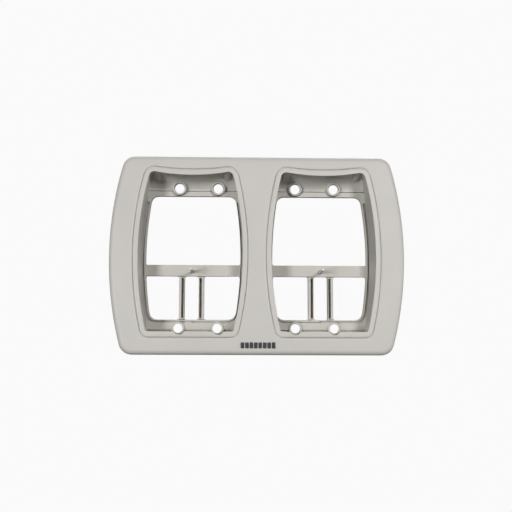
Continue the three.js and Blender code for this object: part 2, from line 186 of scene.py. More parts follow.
POST_OFFSET = 20.8
SCREW_Z = 48.6
POST_RADIUS = 2.3
POST_FRONT_Z = 50.3                     # the post slopes down from behind the band to the rear frame
POST_BACK_Z = 48.0
PILOT_RADIUS = 1.4
PILOT_FRONT_Y = -12.0
PILOT_POINT = 0.8

PIN_SHAFT = 0.9
PIN_HOLE = 1.1
PIN_TAPER = 0.12
PIN_HEAD = 2.0

SHANK_RADIUS = 1.1
SCREW_POINT = 2.0
SCREW_HEAD = 2.4
RECESS_LONG = 1.5                       # half the length and half the width of one stroke of the cross recess
RECESS_NARROW = 0.35
RECESS_DEPTH = 1.0

HOOK_OFFSET = 23.0
HOOK_WIDTH = 4.0
HOOK_TOP = -43.7
HOOK_FOOT = -45.0
HOOK_BARB = 0.9
HOOK_BACK_Y = -1.0
HOOK_EDGE = 0.2
HOOK_ROOT = 1.0                         # how far the hook's arm reaches into the liner
HOOK_OVERLAP = 0.3                      # and its barb into the arm

MARK_BLOCKS = 8
MARK_PITCH = 2.5
MARK_BLOCK_WIDTH = 2.0
MARK_BLOCK_HEIGHT = 3.4
MARK_CORNER = 0.45
MARK_CENTRE = (0.6, -51.8)
MARK_PROUD = 0.03                       # the print's height over the face, and its depth below it
MARK_SUNK = 0.05
MARK_EDGE = 0.01

LABELS = ("right", "left")
COLUMNS = ("inner", "outer")
ROWS = ("upper", "lower")

# ---------------------------------------------------------------- outlines


def barrel(half, bow, top, foot, corner_top, corner_foot, dip=0.0, centre=0.0, fine=1):
    """Points (x, z) round a barrel: bowed sides, a level foot, and a top edge that dips in its middle."""

    def width_at(z):
        return half - bow + np.sqrt(bow * bow - z * z)

    def top_at(x):
        return top + dip * (x / half) ** 2

    def corner(p, sharp, q):
        t = np.linspace(0, 1, 10 * fine + 1)[1:-1, None]
        return (1 - t) ** 2 * np.array(p) + 2 * t * (1 - t) * np.array(sharp) + t * t * np.array(q)

    top_width = width_at(top + dip)
    side_low = foot + corner_foot
    side_high = top_at(top_width) - corner_top
    foot_start = width_at(foot) - corner_foot
    top_start = top_width - corner_top

    x = np.linspace(0, foot_start, 14 * fine)
    foot_line = np.column_stack([x, np.full_like(x, foot)])
    z = np.linspace(side_low, side_high, 40 * fine)
    side_line = np.column_stack([width_at(z), z])
    x = np.linspace(top_start, 0, 14 * fine)
    top_line = np.column_stack([x, top_at(x)])
    right = np.vstack([
        foot_line,
        corner(foot_line[-1], (width_at(foot), foot), side_line[0]),
        side_line,
        corner(side_line[-1], (top_width, top_at(top_width)), top_line[0]),
        top_line,
    ])
    left = right[-2:0:-1] * (-1, 1)
    return np.vstack([right, left]) + (centre, 0)


def mouth(grow=0.0, grow_top=None, grow_foot=None, *, corner_top, corner_foot, fine=4):
    """The right-hand window's mouth, grown outwards."""
    return barrel(
        MOUTH_HALF + grow,
        MOUTH_BOW + grow,
        MOUTH_TOP + (grow if grow_top is None else grow_top),
        MOUTH_FOOT - (grow if grow_foot is None else grow_foot),
        corner_top, corner_foot, TOP_DIP, WINDOW_CENTRE, fine,
    )


def cover_outline(inset, fine=4):
    """The cover's outline, drawn in by the inset."""
    corner = COVER_CORNER - inset
    return barrel(
        COVER_HALF_WIDTH - inset, COVER_BOW - inset, COVER_TOP - inset, COVER_FOOT + inset,
        corner, corner, fine=fine,
    )


def opening(shape):
    return barrel(OPENING_HALF, OPENING_BOW, centre=OPENING_CENTRE, fine=2, **shape)


def circle(x, z, radius, count=64):
    turn = np.linspace(0, 2 * math.pi, count, endpoint=False)
    return np.column_stack([x + radius * np.cos(turn), z + radius * np.sin(turn)])


def sleeve_places():
    """The four box screws of the right-hand window: (row, column, x, z)."""
    return [
        (row, column, x, z)
        for row, z in zip(ROWS, (SCREW_ROWS / 2, -SCREW_ROWS / 2))
        for column, x in zip(COLUMNS, (GANG_PITCH / 2, GANG_PITCH))
    ]


def post_places():
    """Where the right-hand liner's two corner posts stand in x."""
    return [WINDOW_CENTRE + out * POST_OFFSET for out in (-1, 1)]


# ---------------------------------------------------------------- rays from the window's centre


def turn_of(points):
    """The direction of each point, seen from the window's centre."""
    return np.arctan2(points[:, 1], points[:, 0] - WINDOW_CENTRE)


def reach(outline, turns):
    """How far the outline lies from the window's centre in each direction."""
    distance = np.hypot(outline[:, 0] - WINDOW_CENTRE, outline[:, 1])
    return np.interp(turns, turn_of(outline), distance, period=2 * math.pi)


def reach_circle(x, z, radius, turns):
    """The far side of a circle in each direction, or 0 where the ray misses it."""
    along = (x - WINDOW_CENTRE) * np.cos(turns) + z * np.sin(turns)
    left_over = radius**2 - (x - WINDOW_CENTRE) ** 2 - z**2 + along**2
    return np.where(left_over > 0, along + np.sqrt(np.maximum(left_over, 0)), 0)


def ring(distance, turns, depth):
    """Points at a distance along each ray, at a depth that is one number or one for each ray."""
    x = WINDOW_CENTRE + distance * np.cos(turns)
    z = distance * np.sin(turns)
    return np.column_stack([x, np.broadcast_to(depth, x.shape), z])


def face_depth(x, z):
    """Where the gently crowned face lies in y."""
    fall = CROWN_TO_SIDE * (x / COVER_HALF_WIDTH) ** 4 + CROWN_TO_TOP * (z / COVER_TOP) ** 8
    return FACE_Y + CROWN * fall


def face_ring(distance, turns, back=0.0):
    """Points at a distance along each ray, on the face or set back from it."""
    points = ring(distance, turns, 0.0)
    points[:, 1] = face_depth(points[:, 0], points[:, 2]) + back
    return points


def rounded_edge(distance, turns, radius, depth, outwards):
    """Rings that round an edge over, from the wall at that distance to the face."""
    rings = []
    for angle in np.linspace(0, math.pi / 2, 6):
        inwards = radius * (1 - math.cos(angle))
        rings.append(face_ring(distance - outwards * inwards, turns, depth * (1 - math.sin(angle))))
    return rings


# ---------------------------------------------------------------- meshes

SHARP_ANGLE = 35                        # in degrees; edges that turn by more stay sharp


def to_object(name, bm, merge=1e-6):
    """A finished mesh as an object, with its normals pointing out."""
    bmesh.ops.remove_doubles(bm, verts=bm.verts, dist=merge)
    bmesh.ops.recalc_face_normals(bm, faces=bm.faces)
    mesh = bpy.data.meshes.new(name)
    bm.to_mesh(mesh)
    bm.free()
    item = bpy.data.objects.new(name, mesh)
    bpy.context.scene.collection.objects.link(item)
    return item


def add_strip(bm, rows, closed_across=True, closed_along=False):
    """Quads between rows of points; the points of a row are joined up into a loop if closed_across."""
    made = [[bm.verts.new(Vector(p) * MM) for p in row] for row in rows]
    if closed_along:
        made.append(made[0])
    for first, second in zip(made, made[1:]):
        count = len(first)
        for i in range(count if closed_across else count - 1):
            j = (i + 1) % count
            bm.faces.new((first[i], first[j], second[j], second[i]))


def lathe(name, profile, x, z, segments=64):
    """A closed profile of (radius, y) points, turned about a line along Y."""
    bm = bmesh.new()
    rows = []
    for turn in np.linspace(0, 2 * math.pi, segments, endpoint=False):
        rows.append([(x + r * math.cos(turn), y, z + r * math.sin(turn)) for r, y in profile])
    add_strip(bm, rows, closed_across=False, closed_along=True)
    bmesh.ops.remove_doubles(bm, verts=bm.verts, dist=1e-7)
    bmesh.ops.dissolve_degenerate(bm, edges=bm.edges, dist=1e-8)
    return to_object(name, bm)


def rounded_profile(points, radii, steps=4):
    """A polyline with its corners rounded: one radius for each point."""
    result = []
    last = len(points) - 1
    for i, (point, radius) in enumerate(zip(points, radii)):
        if radius == 0 or i in (0, last):
            result.append(tuple(point))
            continue
        here = Vector(point)
        before = here + (Vector(points[i - 1]) - here).normalized() * radius
        after = here + (Vector(points[i + 1]) - here).normalized() * radius
        for t in np.linspace(0, 1, steps + 1):
            result.append(tuple((1 - t) ** 2 * before + 2 * t * (1 - t) * here + t * t * after))
    return result


def block(name, low, high, edge):
    """A box between two corners with its edges rounded."""
    bm = bmesh.new()
    bmesh.ops.create_cube(bm, size=1)
    size = Vector(high) - Vector(low)
    middle = (Vector(high) + Vector(low)) / 2
    bmesh.ops.scale(bm, vec=size * MM, verts=bm.verts)
    bmesh.ops.translate(bm, vec=middle * MM, verts=bm.verts)
    bmesh.ops.bevel(bm, geom=bm.edges, offset=edge * MM, segments=2, profile=0.5, affect="EDGES")
    return to_object(name, bm, merge=1e-8)


def plate(name, outlines, front, back, edge):
    """A flat plate with holes: one outline is its rim, the others are holes, and every edge is rounded."""
    curve = bpy.data.curves.new(name, "CURVE")
    curve.dimensions = "2D"
    curve.fill_mode = "BOTH"
    curve.extrude = ((back - front) / 2 - edge) * MM
    if edge:
        curve.bevel_depth = edge * MM
        curve.bevel_resolution = 2
        curve.offset = -edge * MM
    for outline in outlines:
        spline = curve.splines.new("POLY")
        spline.points.add(len(outline) - 1)
        for point, (x, z) in zip(spline.points, outline):
            point.co = (x * MM, z * MM, 0, 1)
        spline.use_cyclic_u = True
    shape = bpy.data.objects.new(name + "_outline", curve)
    bpy.context.scene.collection.objects.link(shape)
    graph = bpy.context.evaluated_depsgraph_get()
    mesh = bpy.data.meshes.new_from_object(shape.evaluated_get(graph))
    bm = bmesh.new()
    bm.from_mesh(mesh)
    bpy.data.objects.remove(shape)
    bpy.data.curves.remove(curve)
    bpy.data.meshes.remove(mesh)
    upright = Matrix.Rotation(math.pi / 2, 4, "X")
    bm.transform(Matrix.Translation(mm(0, (front + back) / 2, 0)) @ upright)
    return to_object(name, bm, merge=2e-6)


def combine(item, tool, operation):
    """Joins the tool to the item or cuts it out, and removes the tool."""
    modifier = item.modifiers.new("combine", "BOOLEAN")
    modifier.operation = operation
    modifier.object = tool
    modifier.solver = "EXACT"
    graph = bpy.context.evaluated_depsgraph_get()
    mesh = bpy.data.meshes.new_from_object(item.evaluated_get(graph))
    old = item.data
    item.modifiers.clear()
    item.data = mesh
    bpy.data.meshes.remove(old)
    bpy.data.objects.remove(tool)
    return item


def mirrored(item, name):
    """The mirror image of a right-hand piece, for the left-hand window."""
    bm = bmesh.new()
    bm.from_mesh(item.data)
    bmesh.ops.scale(bm, vec=(-1, 1, 1), verts=bm.verts)
    bmesh.ops.reverse_faces(bm, faces=bm.faces)
    return to_object(name, bm, merge=1e-9)


def finish(item, node, material):
    """Shades a piece, gives it its finish and puts it in its CAD node's place."""
    item.data.shade_smooth()
    item.data.set_sharp_from_angle(angle=math.radians(SHARP_ANGLE))
    weighted = item.modifiers.new("weighted_normals", "WEIGHTED_NORMAL")
    weighted.keep_sharp = True
    item.data.materials.clear()
    item.data.materials.append(material)
    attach(item, "root")
    if node:
        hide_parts(node)
    return item


# ---------------------------------------------------------------- finishes

EDGE_WEAR_AND_HIGHLIGHT = 0.06                        # how far an outer edge goes towards the paler colour: partly wear, partly a painted highlight
GRAIN_STRENGTH = 0.2
GRAIN_HEIGHT = 0.00002                  # in metres


class Nodes:
    """A short way to write the nodes of a material or of the world."""

    def __init__(self, owner):
        owner.use_nodes = True
        self.tree = owner.node_tree
        self.shader = self.tree.nodes.get("Principled BSDF")

    def add(self, kind, inputs=None, **settings):
        node = self.tree.nodes.new(kind)
        for key, value in settings.items():
            setattr(node, key, value)
        for key, value in (inputs or {}).items():
            self.feed(value, node.inputs[key])
        return node

    def feed(self, value, socket):
        if isinstance(value, bpy.types.NodeSocket):
            self.tree.links.new(value, socket)
        else:
            socket.default_value = value


def moulded_plastic(name, colour, roughness, mottle):
    """Light warm grey moulded plastic: fine grain, faint clouding, and slightly paler outer edges that are
    partly wear and partly a painted highlight.
    """
    material = bpy.data.materials.new(name)
    nodes = Nodes(material)
    place = nodes.add("ShaderNodeTexCoord").outputs["Object"]
    clouds = nodes.add("ShaderNodeTexNoise", {"Vector": place, "Scale": 45.0, "Detail": 3.0})
    flecks = nodes.add("ShaderNodeTexNoise", {"Vector": place, "Scale": 900.0, "Detail": 4.0})
    fine = nodes.add("ShaderNodeTexNoise", {"Vector": place, "Scale": 3200.0, "Detail": 2.0})

    def spread(noise, middle, swing):
        """The noise's middle stretch, brought to a middle value plus or minus a swing."""
        return nodes.add("ShaderNodeMapRange", {
            "Value": noise.outputs["Fac"], "From Min": 0.3, "From Max": 0.7,
            "To Min": middle - swing, "To Max": middle + swing,
        })

    swing = spread(clouds, 1, mottle)
    speck = spread(flecks, 1, mottle / 2)
    shade = nodes.add("ShaderNodeMath", {0: swing.outputs["Result"], 1: speck.outputs["Result"]},
                      operation="MULTIPLY")
    tinted = nodes.add("ShaderNodeVectorMath", {0: colour, "Scale": shade.outputs["Value"]},
                       operation="SCALE")
    # Pointiness brings convex outer edges towards a paler colour: partly wear, partly a painted highlight.
    edge = nodes.add("ShaderNodeMapRange", {
        "Value": nodes.add("ShaderNodeNewGeometry").outputs["Pointiness"],
        "From Min": 0.51, "From Max": 0.56, "To Min": 0.0, "To Max": EDGE_WEAR_AND_HIGHLIGHT,
    })
    wear_and_highlight = nodes.add("ShaderNodeMix", {
        "Factor": edge.outputs["Result"], "A": tinted.outputs["Vector"], "B": (0.9, 0.89, 0.86),
    }, data_type="VECTOR")
    nodes.feed(wear_and_highlight.outputs["Result"], nodes.shader.inputs["Base Color"])
    rough = spread(flecks, roughness, 0.06)
    nodes.feed(rough.outputs["Result"], nodes.shader.inputs["Roughness"])
    bump = nodes.add("ShaderNodeBump", {
        "Strength": GRAIN_STRENGTH, "Distance": GRAIN_HEIGHT, "Height": fine.outputs["Fac"],
    })
    nodes.feed(bump.outputs["Normal"], nodes.shader.inputs["Normal"])
    nodes.shader.inputs["IOR"].default_value = 1.5
    return material


def zinc_steel(name):
    """Zinc-plated steel, slightly clouded."""
    material = bpy.data.materials.new(name)
    nodes = Nodes(material)
    place = nodes.add("ShaderNodeTexCoord").outputs["Object"]
    clouds = nodes.add("ShaderNodeTexNoise", {"Vector": place, "Scale": 700.0, "Detail": 5.0})
    colour = nodes.add("ShaderNodeMix", {
        "Factor": clouds.outputs["Fac"], "A": (0.50, 0.51, 0.54), "B": (0.66, 0.65, 0.62),
    }, data_type="VECTOR")
    nodes.feed(colour.outputs["Result"], nodes.shader.inputs["Base Color"])
    rough = nodes.add("ShaderNodeMapRange", {"Value": clouds.outputs["Fac"], "To Min": 0.22, "To Max": 0.42})
    nodes.feed(rough.outputs["Result"], nodes.shader.inputs["Roughness"])
    nodes.shader.inputs["Metallic"].default_value = 1.0
    return material


def printed_ink(name):
    """Black pad-printed ink, a little uneven in its gloss."""
    material = bpy.data.materials.new(name)
    nodes = Nodes(material)
    place = nodes.add("ShaderNodeTexCoord").outputs["Object"]
    grain = nodes.add("ShaderNodeTexNoise", {"Vector": place, "Scale": 2500.0, "Detail": 3.0})
    colour = nodes.add("ShaderNodeMix", {
        "Factor": grain.outputs["Fac"], "A": (0.012, 0.012, 0.013), "B": (0.03, 0.03, 0.03),
    }, data_type="VECTOR")
    nodes.feed(colour.outputs["Result"], nodes.shader.inputs["Base Color"])
    rough = nodes.add("ShaderNodeMapRange", {"Value": grain.outputs["Fac"], "To Min": 0.35, "To Max": 0.6})
    nodes.feed(rough.outputs["Result"], nodes.shader.inputs["Roughness"])
    return material


COVER_COLOUR = (0.600, 0.582, 0.548)
LINER_COLOUR = (0.600, 0.582, 0.546)
FRAME_COLOUR = (0.585, 0.563, 0.518)
# Paler than the other plastics: a painted highlight that stands in for the light on the pins' tips.
PIN_COLOUR_WITH_PAINTED_HIGHLIGHT = (0.78, 0.76, 0.73)
cover_plastic = moulded_plastic("cover_plastic", COVER_COLOUR, roughness=0.50, mottle=0.02)
liner_plastic = moulded_plastic("liner_plastic", LINER_COLOUR, roughness=0.46, mottle=0.02)
frame_plastic = moulded_plastic("frame_plastic", FRAME_COLOUR, roughness=0.50, mottle=0.03)
rail_plastic = moulded_plastic("rail_plastic", FRAME_COLOUR, roughness=0.50, mottle=0.03)
pin_plastic = moulded_plastic("pin_plastic", PIN_COLOUR_WITH_PAINTED_HIGHLIGHT, roughness=0.40, mottle=0.02)
screw_steel = zinc_steel("screw_steel")
black_ink = printed_ink("printed_mark")

# ---------------------------------------------------------------- the cover


def seam_outline(inset):
    """The right half of the cover's outline, closed along the middle line by a straight seam."""
    half = cover_outline(inset)
    half = half[half[:, 0] >= 0]
    z = np.linspace(COVER_TOP - inset, COVER_FOOT + inset, 200)
    return np.vstack([half, np.column_stack([np.zeros_like(z), z])[1:-1]])


def window_turns():
    """The directions of the rays: dense where one of the outlines turns a corner."""
    top_seam = math.atan2(COVER_TOP - COVER_EDGE, -WINDOW_CENTRE)
    foot_seam = math.atan2(COVER_FOOT + COVER_EDGE, -WINDOW_CENTRE)
    outer = cover_outline(COVER_EDGE, fine=1)
    turns = np.concatenate([
        turn_of(mouth(fine=1, **MOUTH_CORNERS)),
        turn_of(mouth(BAND_SIDE, BAND_TOP, BAND_FOOT, fine=1, **BAND_CORNERS)),
        turn_of(outer[outer[:, 0] > 0.5]),
    ])
    kept = [top_seam, foot_seam]
    least_step = math.radians(0.35)
    for turn in np.sort(turns):
        if min(abs(turn - other) for other in kept) > least_step:
            kept.append(turn)
    return np.sort(np.array(kept)), top_seam, foot_seam


TURNS, TOP_SEAM, FOOT_SEAM = window_turns()


def outward(points):
    """The outward direction of a smooth open line of (x, z) points that runs anticlockwise."""
    along = np.gradient(points, axis=0)
    normal = np.column_stack([along[:, 1], -along[:, 0]])
    return normal / np.linalg.norm(normal, axis=1)[:, None]


def cover_half():
    """One half of the cover as rows of points: round the window, and round the outer wall."""
    aperture = reach(
        mouth(BAND_SIDE + GROOVE, BAND_TOP + GROOVE, BAND_FOOT + GROOVE, **APERTURE_CORNERS), TURNS)
    side, top = LINER_WALL + GAP, LINER_WALL_TOP + GAP
    throat = reach(mouth(side, top, **THROAT_CORNERS), TURNS)
    skirt = reach(mouth(side + SKIRT_WALL, top + SKIRT_WALL, **SKIRT_CORNERS), TURNS)
    for row, _, x, z in sleeve_places():
        if row == "lower":
            clearance = TROUGH_RADIUS["lower"] + TROUGH_WALL + GAP
            throat = np.maximum(throat, reach_circle(x, z, clearance, TURNS))
    face_edge = reach(seam_outline(COVER_EDGE), TURNS)

    # The line where the face turns over, and its outward direction away from the seam
    edge_points = ring(face_edge, TURNS, 0.0)[:, [0, 2]]
    on_wall = (TURNS >= FOOT_SEAM - 1e-9) & (TURNS <= TOP_SEAM + 1e-9)
    wall_points = edge_points[on_wall]
    normals = outward(wall_points)
    normals[0] = (0, -1)
    normals[-1] = (0, 1)

    def wall_row(shift, depth):
        moved = wall_points + normals * shift
        return np.column_stack([moved[:, 0], np.broadcast_to(depth, len(moved)), moved[:, 1]])

    rows = []
    groove_edge = aperture + GROOVE_EDGE
    for share in np.linspace(0, 1, 7):
        rows.append(face_ring(face_edge + (groove_edge - face_edge) * share, TURNS))
    rows += rounded_edge(aperture, TURNS, GROOVE_EDGE, GROOVE_DEPTH, outwards=-1)[::-1][1:]
    rows += [ring(aperture, TURNS, depth) for depth in (FACE_Y + 2 * GROOVE_DEPTH, LEDGE_FRONT_Y)]
    rows += [ring(throat + LEDGE_EDGE, TURNS, LEDGE_FRONT_Y), ring(throat, TURNS, LEDGE_FRONT_Y + LEDGE_EDGE)]
    skirt_end = FRAME_FRONT_Y - GAP
    inner_depths = np.linspace(LEDGE_FRONT_Y + 2, skirt_end - SOFT_EDGE, 4)
    outer_depths = np.linspace(skirt_end - SOFT_EDGE, LEDGE_BACK_Y + SKIRT_FILLET, 5)
    rows += [ring(throat, TURNS, depth) for depth in inner_depths]
    rows += [ring(throat + SOFT_EDGE, TURNS, skirt_end), ring(skirt - SOFT_EDGE, TURNS, skirt_end)]
    rows += [ring(skirt, TURNS, depth) for depth in outer_depths]
    rows += [ring(skirt + 0.25, TURNS, LEDGE_BACK_Y + 0.25), ring(skirt + SKIRT_FILLET, TURNS, LEDGE_BACK_Y)]

    inside = COVER_EDGE - WALL
    inside_edge = edge_points.copy()
    inside_edge[on_wall] = wall_points + normals * (inside - WALL_FILLET)
    start = rows[-1][:, [0, 2]]
    for share in (0.5, 1.0):
        flat = start + (inside_edge - start) * share
        rows.append(np.column_stack([flat[:, 0], np.full(len(flat), LEDGE_BACK_Y), flat[:, 1]]))

    wall = [wall_row(inside - WALL_FILLET, LEDGE_BACK_Y), wall_row(inside - 0.15, LEDGE_BACK_Y + 0.2)]
    wall += [wall_row(inside, depth) for depth in np.linspace(LEDGE_BACK_Y + 0.7, -SOFT_EDGE, 5)]
    outside = COVER_EDGE - WALL_INSET
    wall += [wall_row(inside + SOFT_EDGE, 0.0), wall_row(outside - SOFT_EDGE, 0.0)]
    wall.append(wall_row(outside - 0.08, -0.1))
    face_line = face_depth(wall_points[:, 0], wall_points[:, 1])
    turn_end = FACE_Y + COVER_EDGE + CROWN
    wall += [wall_row(outside, depth) for depth in np.linspace(-0.35, turn_end + 1.0, 5)]
    for angle in np.linspace(0, math.pi / 2, 12):
        depth = turn_end + (face_line - turn_end) * math.sin(angle)
        wall.append(wall_row(outside * math.cos(angle), depth))
    wall[-1] = np.column_stack([wall_points[:, 0], face_line, wall_points[:, 1]])
    return rows, wall


def front_cover():
    """The cover: its two halves are mirror images that meet along the seam."""
    rows, wall = cover_half()
    bm = bmesh.new()
    for side in (1, -1):
        turned = (side, 1, 1)
        add_strip(bm, [row * turned for row in rows])
        add_strip(bm, [row * turned for row in wall], closed_across=False)
    return finish(to_object("cover_shell", bm, merge=2e-6), "front_cover", cover_plastic)


# ---------------------------------------------------------------- the liners


def soft_least(a, b, blend):
    """The smaller of two lengths, with a smooth change-over."""
    share = np.clip(0.5 + 0.5 * (b - a) / blend, 0, 1)
    return b * (1 - share) + a * share - blend * share * (1 - share)


def pocket(depth):
    """How far the pocket reaches along each ray at one depth, under the coved ceiling."""
    least_slope, no_roof = 0.2, 1e3     # rays that climb less than this never meet the ceiling
    tall = {"top": MOUTH_TOP + UNDERCUT, "dip": TOP_DIP, "fine": 4, **MOUTH_CORNERS}
    near = reach(barrel(MOUTH_HALF, MOUTH_BOW, foot=MOUTH_FOOT, centre=WINDOW_CENTRE, **tall), TURNS)
    far = reach(barrel(POCKET_HALF, POCKET_BOW, foot=POCKET_FOOT, centre=POCKET_CENTRE, **tall), TURNS)
    share = (depth - BAND_BACK_Y) / (FRAME_FRONT_Y - BAND_BACK_Y)
    walls = near + (far - near) * share
    sideways = np.clip(walls * np.cos(TURNS) / MOUTH_HALF, -1, 1)
    rise = COVE_TOP + CORNER_RISE * sideways**2 - COVE_BACK
    ceiling = COVE_BACK + rise * math.sqrt(max(0.0, 1 - share * share))
    upward = np.sin(TURNS)
    roof = np.where(upward > least_slope, ceiling / np.maximum(upward, least_slope), no_roof)
    return soft_least(walls, np.minimum(roof, walls + 20), COVE_BLEND)


def liner_body():
    """Rings from the back of the band, over its front, down the pocket and up the outer wall."""
    band = reach(mouth(BAND_SIDE, BAND_TOP, BAND_FOOT, **BAND_CORNERS), TURNS)
    lip = reach(mouth(**MOUTH_CORNERS), TURNS)
    wall = reach(mouth(LINER_WALL, LINER_WALL_TOP, **LINER_CORNERS), TURNS)
    for row, _, x, z in sleeve_places():
        if row == "lower":
            wall = np.maximum(wall, reach_circle(x, z, TROUGH_RADIUS["lower"] + TROUGH_WALL, TURNS))
    back = FRAME_FRONT_Y - GAP

    rows = [ring(band, TURNS, BAND_BACK_Y)]
    rows += rounded_edge(band, TURNS, GROOVE_EDGE, GROOVE_DEPTH, outwards=1)
    flat_from, flat_to = band - GROOVE_EDGE, lip + LIP_EDGE
    rows += [face_ring(flat_from + (flat_to - flat_from) * share, TURNS) for share in (0.33, 0.67)]
    rows += rounded_edge(lip, TURNS, LIP_EDGE, LIP_EDGE, outwards=-1)[::-1]
    rows += [ring(lip, TURNS, BAND_BACK_Y)]
    depths = BAND_BACK_Y + (back - BAND_BACK_Y) * np.linspace(0, 1, 40) ** 0.9
    rows += [ring(pocket(depth), TURNS, depth) for depth in depths[1:]]
    rows += [ring(wall, TURNS, back), ring(wall, TURNS, BAND_BACK_Y)]
    bm = bmesh.new()
    add_strip(bm, rows, closed_along=True)
    return to_object("liner_body", bm)


def closed_loft(name, rows):
    """Rings of points joined up and closed at both ends; each ring lies at one depth."""
    bm = bmesh.new()
    add_strip(bm, rows)
    for end in (rows[0], rows[-1]):
        ring_verts = [v for v in bm.verts if abs(v.co.y - end[0][1] * MM) < 1e-7]
        bmesh.ops.contextual_create(bm, geom=ring_verts)
    bmesh.ops.recalc_face_normals(bm, faces=bm.faces)
    return to_object(name, bm)


def trough_cutter(row, column, x, z):
    """A round cutter that clears a screwdriver; the lower ones pass through the band, leaning and flared."""
    r = TROUGH_RADIUS[row]
    if row == "upper":
        profile = [(0, BAND_BACK_Y), (r, BAND_BACK_Y), (r, TROUGH_END_Y), (0, TROUGH_END_Y)]
        return lathe("trough_cutter", profile, x, z, segments=72)
    seat = FRAME_FRONT_Y - 1.2          # a little in front of the sleeve, where the lean starts
    flare = [(1.0, -1.0), (0.35, -0.02), (0.15, 0.12), (0.04, 0.35), (0.0, 0.7)]
    rows = []
    for wider, depth in [(wider, FACE_Y + depth) for wider, depth in flare] + [(0, seat), (0, TROUGH_END_Y)]:
        share = max(0.0, (seat - depth) / (seat - FACE_Y))
        middle_x, middle_z = x - TROUGH_LEAN[column] * share, z - TROUGH_DROP * share
        rows.append([(px, depth, pz) for px, pz in
                     circle(middle_x, middle_z, r - TROUGH_NARROWS * share + wider, 72)])
    return closed_loft("trough_cutter", rows)


def corner_post(x):
    """A round post that slopes down from behind the band, kept inside the liner's outer wall."""
    back = FRAME_FRONT_Y - GAP
    end_inset = 0.05                    # keeps the post's ends just inside those of the wall
    rows = []
    for share in np.linspace(0, 1, 5):
        depth = BAND_BACK_Y + end_inset + (back - BAND_BACK_Y - 2 * end_inset) * share
        outline = circle(x, POST_FRONT_Z + (POST_BACK_Z - POST_FRONT_Z) * share, POST_RADIUS, 48)
        rows.append([(px, depth, pz) for px, pz in outline])
    post = closed_loft("post", rows)
    inset = 0.01                        # so that the post's sides and the wall's don't coincide
    outer = mouth(LINER_WALL - inset, LINER_WALL_TOP - inset, fine=2, **LINER_CORNERS)
    return combine(post, plate("post_limit", [outer], BAND_BACK_Y - 1, 0, 0.0), "INTERSECT")


def liner_hook(middle):
    """A hook at the liner's foot that the rear frame hangs on."""
    near, far = middle - HOOK_WIDTH / 2, middle + HOOK_WIDTH / 2
    arm_front = FRAME_FRONT_Y - GAP - HOOK_ROOT
    arm = block("arm", (near, arm_front, HOOK_FOOT), (far, HOOK_BACK_Y, HOOK_TOP), HOOK_EDGE)
    barb = block("barb", (near, FRAME_BACK_Y + GAP, HOOK_FOOT - HOOK_BARB),
                 (far, HOOK_BACK_Y, HOOK_FOOT + HOOK_OVERLAP), HOOK_EDGE)
    return combine(arm, barb, "UNION")


def window_liner(label, source=None):
    """The band, the pocket with its cove and troughs, the two posts and the two hooks."""
    name = f"{label}_liner"
    if source:
        item = mirrored(source, name)
    else:
        item = liner_body()
        item.name = name
        pilot = [(0, PILOT_FRONT_Y), (PILOT_RADIUS, PILOT_FRONT_Y + PILOT_POINT),
                 (PILOT_RADIUS, TROUGH_END_Y), (0, TROUGH_END_Y)]
        for x in post_places():
            combine(item, corner_post(x), "UNION")
            combine(item, lathe("pilot", pilot, x, SCREW_Z, segments=32), "DIFFERENCE")
        for out in (-1, 1):
            combine(item, liner_hook(WINDOW_CENTRE + out * HOOK_OFFSET), "UNION")
        for row, column, x, z in sleeve_places():
            combine(item, trough_cutter(row, column, x, z), "DIFFERENCE")
    return finish(item, f"{label}_window_liner", liner_plastic)


# ---------------------------------------------------------------- the rear frames and what they carry


def hook_slot(middle):
    """The hole in the rear frame that a liner's hook passes through."""
    near, far = middle - HOOK_WIDTH / 2 - GAP, middle + HOOK_WIDTH / 2 + GAP
    low, high = HOOK_FOOT - HOOK_BARB - GAP, HOOK_TOP + GAP
    return [(near, low), (far, low), (far, high), (near, high)]


def rear_frame(label, source=None):
    """The plate across the back of a pocket, with its openings, holes and fine grooves."""
    name = f"{label}_back_frame"
    if source:
        item = mirrored(source, name)
    else:
        rim = barrel(MOUTH_HALF + FRAME_MARGIN, MOUTH_BOW + FRAME_MARGIN, FRAME_TOP, FRAME_FOOT,
                     FRAME_CORNER, FRAME_CORNER, centre=WINDOW_CENTRE, fine=2)
        cad_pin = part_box("right_locating_pin")
        pin_x = (cad_pin[0].x + cad_pin[1].x) / 2 / MM
        pin_z = (cad_pin[0].z + cad_pin[1].z) / 2 / MM
        outlines = [rim, opening(UPPER_OPENING), opening(LOWER_OPENING), circle(pin_x, pin_z, PIN_HOLE, 32)]
        outlines += [circle(x, z, BARREL_RADIUS[row] + BORE_CLEARANCE) for row, _, x, z in sleeve_places()]
        outlines += [circle(x, SCREW_Z, PILOT_RADIUS, 32) for x in post_places()]
        outlines += [hook_slot(WINDOW_CENTRE + out * HOOK_OFFSET) for out in (-1, 1)]
        item = plate(name, outlines, FRAME_FRONT_Y, FRAME_BACK_Y, FRAME_EDGE)
        for cutter in frame_grooves():
            combine(item, cutter, "DIFFERENCE")
    return finish(item, f"{label}_rear_frame", frame_plastic)


def groove_cutter(path, width, depth):
    """Cuts a groove into the front of the rear frame along an open line of (x, z) points."""
    path = np.array(path, float)
    sideways = outward(path) * width / 2
    front, floor = FRAME_FRONT_Y - 1, FRAME_FRONT_Y + depth
    one_side, other_side = path + sideways, path - sideways
    corners = [(one_side, front), (one_side, floor), (other_side, floor), (other_side, front)]
    sections = [[(points[i][0], y, points[i][1]) for points, y in corners] for i in range(len(path))]
    bm = bmesh.new()
    add_strip(bm, sections)
    bm.verts.ensure_lookup_table()
    bm.faces.new(bm.verts[:4])
    bm.faces.new(bm.verts[-4:])
    return to_object("groove_cutter", bm)


